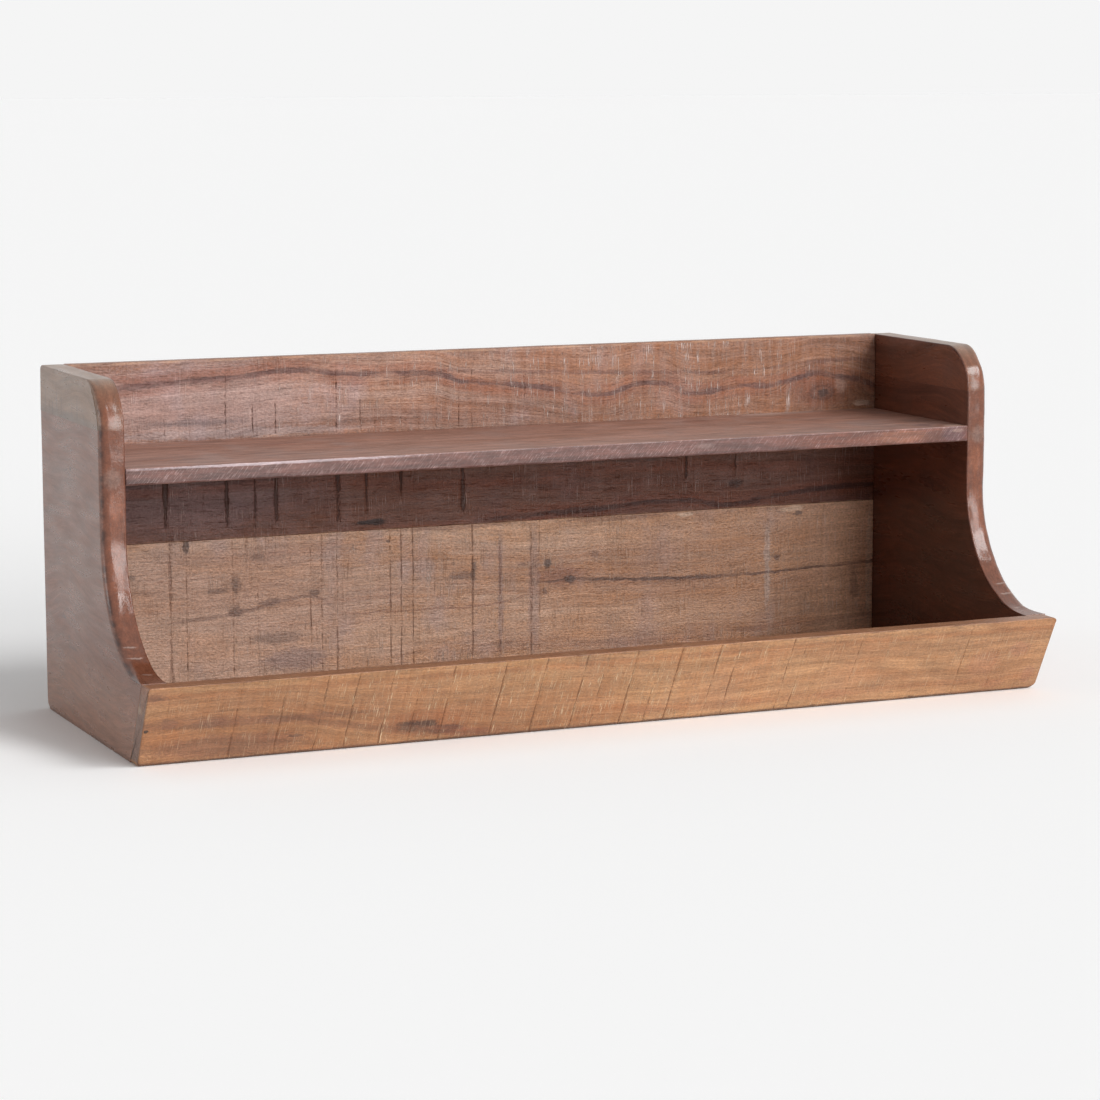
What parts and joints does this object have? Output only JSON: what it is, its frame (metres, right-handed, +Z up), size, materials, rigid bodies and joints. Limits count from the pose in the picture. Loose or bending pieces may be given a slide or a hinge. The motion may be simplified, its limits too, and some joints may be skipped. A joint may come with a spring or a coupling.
{
  "type": "wall shelf",
  "caption": "Solid-wood wall shelf with swooped end panels, a shallow upper shelf, a deep lower tray behind a leaning front rail, and steel keyhole plates on its back.",
  "frame": {"origin": "on the ground under the middle of the shelf's whole box, hanger plates included", "axes": "+X along the length, to the right as the front is looked at; +Y into the wall; +Z up"},
  "size_m": [0.8, 0.2998, 0.288],
  "materials": {
    "end_wood": "waxed, hand-shaped edges",
    "strip_wood": "waxed, coarser grain",
    "upper_back_wood": "waxed over saw marks",
    "lower_back_wood": "waxed over saw marks",
    "shelf_wood": "smooth, waxed",
    "bottom_wood": "waxed",
    "rail_wood": "waxed over slanting saw marks",
    "nail_steel": "dull",
    "hanger_steel": "blackened",
    "screw_steel": "blackened"
  },
  "bodies": {
    "root": {"left_end_board": "end_wood", "right_end_board": "end_wood", "left_end_top_strip": "strip_wood", "right_end_top_strip": "strip_wood", "upper_back_board": "upper_back_wood", "lower_back_board": "lower_back_wood", "upper_shelf": "shelf_wood", "bottom_board": "bottom_wood", "front_rail": "rail_wood", "left_shelf_nails": "nail_steel", "right_shelf_nails": "nail_steel", "left_bottom_nails": "nail_steel", "right_bottom_nails": "nail_steel", "left_back_nails": "nail_steel", "right_back_nails": "nail_steel", "shelf_back_nails": "nail_steel", "bottom_back_nails": "nail_steel", "rail_nails": "nail_steel", "left_hanger_plate": "hanger_steel", "right_hanger_plate": "hanger_steel", "hanger_screws": "screw_steel"}
  },
  "joints": []
}
